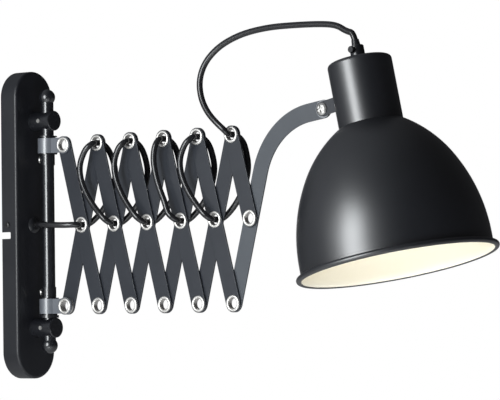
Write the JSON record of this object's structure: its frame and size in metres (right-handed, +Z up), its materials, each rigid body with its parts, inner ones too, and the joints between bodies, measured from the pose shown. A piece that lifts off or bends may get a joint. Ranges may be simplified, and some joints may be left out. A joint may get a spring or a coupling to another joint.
{
  "type": "articulating wall lamp",
  "caption": "Wall lamp whose scissor arm of flat bars slides on a wall rod, swings and folds, and carries a tilting dome shade.",
  "frame": {"origin": "on the wall plane, at the middle of the wall plate and of its two wall holes", "axes": "+X out of the wall, +Z up, +Y along the wall"},
  "size_m": [0.6283, 0.21, 0.3728],
  "materials": {
    "black_steel": "satin black powder coat",
    "bar_steel": "smooth dark grey-black enamel on flat bars",
    "shade_enamel": "satin black outside, warm white enamel inside",
    "nickel": "satin nickel plated",
    "zinc": "zinc plated sheet and fasteners",
    "black_plastic": "glossy black moulded plastic",
    "cord_pvc": "smooth black cord sheath",
    "holder_porcelain": "off-white lamp holder",
    "bulb_glass": "frosted glass"
  },
  "bodies": {
    "root": {"wall_plate": "black_steel", "mounting_bar": "zinc", "plate_screws": "black_steel", "cord_grommet": "black_plastic", "terminal_block": "holder_porcelain", "upper_post": "black_steel", "lower_post": "black_steel", "post_bolts": "zinc", "post_set_screws": "nickel", "slide_rod": "black_steel", "ball_finials": "black_steel", "thrust_washer": "nickel", "cord_wall_stretch": "cord_pvc"},
    "lower_bracket": {"lower_strap": "black_steel", "lower_bush": "black_steel", "lower_lock_screw": "nickel", "first_pivot_eyelet": "nickel"},
    "upper_bracket": {"upper_strap": "black_steel", "upper_bush": "black_steel", "upper_lock_screw": "nickel"},
    "back_link_1": {"back_bar_1": "bar_steel", "cord_back_arc_1": "cord_pvc"},
    "back_link_2": {"back_bar_2": "bar_steel", "cord_back_arc_2": "cord_pvc"},
    "back_link_3": {"back_bar_3": "bar_steel", "cord_back_arc_3": "cord_pvc"},
    "back_link_4": {"back_bar_4": "bar_steel", "cord_back_arc_4": "cord_pvc"},
    "back_link_5": {"back_bar_5": "bar_steel", "cord_back_arc_5": "cord_pvc"},
    "front_link_1": {"front_bar_1": "bar_steel", "eyelets_1": "nickel"},
    "front_link_2": {"front_bar_2": "bar_steel", "eyelets_2": "nickel", "cord_front_loop_2": "cord_pvc"},
    "front_link_3": {"front_bar_3": "bar_steel", "eyelets_3": "nickel", "cord_front_loop_3": "cord_pvc"},
    "front_link_4": {"front_bar_4": "bar_steel", "eyelets_4": "nickel", "cord_front_loop_4": "cord_pvc"},
    "front_link_5": {"front_bar_5": "bar_steel", "eyelets_5": "nickel", "cord_front_loop_5": "cord_pvc"},
    "front_link_6": {"front_bar_6": "bar_steel", "eyelets_6": "nickel", "cord_free_loop": "cord_pvc"},
    "arm": {"curved_arm": "bar_steel"},
    "head": {"head_tab": "bar_steel", "knuckle_screw": "nickel", "knuckle_nut": "nickel", "tab_rivets": "bar_steel", "socket_cup": "black_steel", "dome_shade": "shade_enamel", "cord_grip": "black_plastic", "grip_screw": "black_plastic", "grip_collar": "black_plastic", "lamp_holder": "holder_porcelain", "shade_ring": "holder_porcelain", "bulb": "bulb_glass"}
  },
  "joints": [
    {"name": "swivel", "type": "hinge", "parent": "root", "child": "lower_bracket", "pos_m": [0.0428, 0, -0.0915], "axis": [0, 0, 1], "range_deg": [-75, 75], "deforming": ["cord_wall_stretch"]},
    {"name": "scissor_fold", "type": "hinge", "parent": "lower_bracket", "child": "back_link_1", "pos_m": [0.0703, 0, -0.09149], "axis": [0, 1, 0], "range_deg": [-6, 30]},
    {"name": "middle_pivot_1", "type": "hinge", "parent": "back_link_1", "child": "front_link_1", "pos_m": [0.09428, 0, -0.002], "axis": [0, 1, 0], "range_deg": [-60, 12]},
    {"name": "upper_bracket_pivot", "type": "hinge", "parent": "front_link_1", "child": "upper_bracket", "pos_m": [0.0703, 0, 0.08749], "axis": [0, 1, 0], "range_deg": [-6, 30]},
    {"name": "top_pivot_2", "type": "hinge", "parent": "back_link_1", "child": "front_link_2", "pos_m": [0.11826, 0, 0.08749], "axis": [0, 1, 0], "range_deg": [-60, 12]},
    {"name": "middle_pivot_2", "type": "hinge", "parent": "front_link_2", "child": "back_link_2", "pos_m": [0.14224, 0, -0.002], "axis": [0, 1, 0], "range_deg": [-12, 60]},
    {"name": "bottom_pivot_3", "type": "hinge", "parent": "front_link_2", "child": "back_link_3", "pos_m": [0.16622, 0, -0.09149], "axis": [0, 1, 0], "range_deg": [-12, 60]},
    {"name": "middle_pivot_3", "type": "hinge", "parent": "back_link_3", "child": "front_link_3", "pos_m": [0.1902, 0, -0.002], "axis": [0, 1, 0], "range_deg": [-60, 12]},
    {"name": "top_pivot_4", "type": "hinge", "parent": "back_link_3", "child": "front_link_4", "pos_m": [0.21418, 0, 0.08749], "axis": [0, 1, 0], "range_deg": [-60, 12]},
    {"name": "middle_pivot_4", "type": "hinge", "parent": "front_link_4", "child": "back_link_4", "pos_m": [0.23816, 0, -0.002], "axis": [0, 1, 0], "range_deg": [-12, 60]},
    {"name": "bottom_pivot_5", "type": "hinge", "parent": "front_link_4", "child": "back_link_5", "pos_m": [0.26214, 0, -0.09149], "axis": [0, 1, 0], "range_deg": [-12, 60]},
    {"name": "middle_pivot_5", "type": "hinge", "parent": "back_link_5", "child": "front_link_5", "pos_m": [0.28612, 0, -0.002], "axis": [0, 1, 0], "range_deg": [-60, 12]},
    {"name": "top_pivot_6", "type": "hinge", "parent": "back_link_5", "child": "front_link_6", "pos_m": [0.3101, 0, 0.08749], "axis": [0, 1, 0], "range_deg": [-60, 12], "deforming": ["cord_free_loop"]},
    {"name": "middle_pivot_6", "type": "hinge", "parent": "front_link_6", "child": "arm", "pos_m": [0.33408, 0, -0.002], "axis": [0, 1, 0], "range_deg": [-12, 60]},
    {"name": "head_tilt", "type": "hinge", "parent": "arm", "child": "head", "pos_m": [0.43278, 0, 0.1081], "axis": [0, 1, 0], "range_deg": [-50, 20]}
  ],
  "couplings": [
    {"joint": "middle_pivot_1", "follows": "scissor_fold", "ratio": -2},
    {"joint": "upper_bracket_pivot", "follows": "scissor_fold", "ratio": 1},
    {"joint": "top_pivot_2", "follows": "scissor_fold", "ratio": -2},
    {"joint": "middle_pivot_2", "follows": "scissor_fold", "ratio": 2},
    {"joint": "bottom_pivot_3", "follows": "scissor_fold", "ratio": 2},
    {"joint": "middle_pivot_3", "follows": "scissor_fold", "ratio": -2},
    {"joint": "top_pivot_4", "follows": "scissor_fold", "ratio": -2},
    {"joint": "middle_pivot_4", "follows": "scissor_fold", "ratio": 2},
    {"joint": "bottom_pivot_5", "follows": "scissor_fold", "ratio": 2},
    {"joint": "middle_pivot_5", "follows": "scissor_fold", "ratio": -2},
    {"joint": "top_pivot_6", "follows": "scissor_fold", "ratio": -2},
    {"joint": "middle_pivot_6", "follows": "scissor_fold", "ratio": 2}
  ]
}
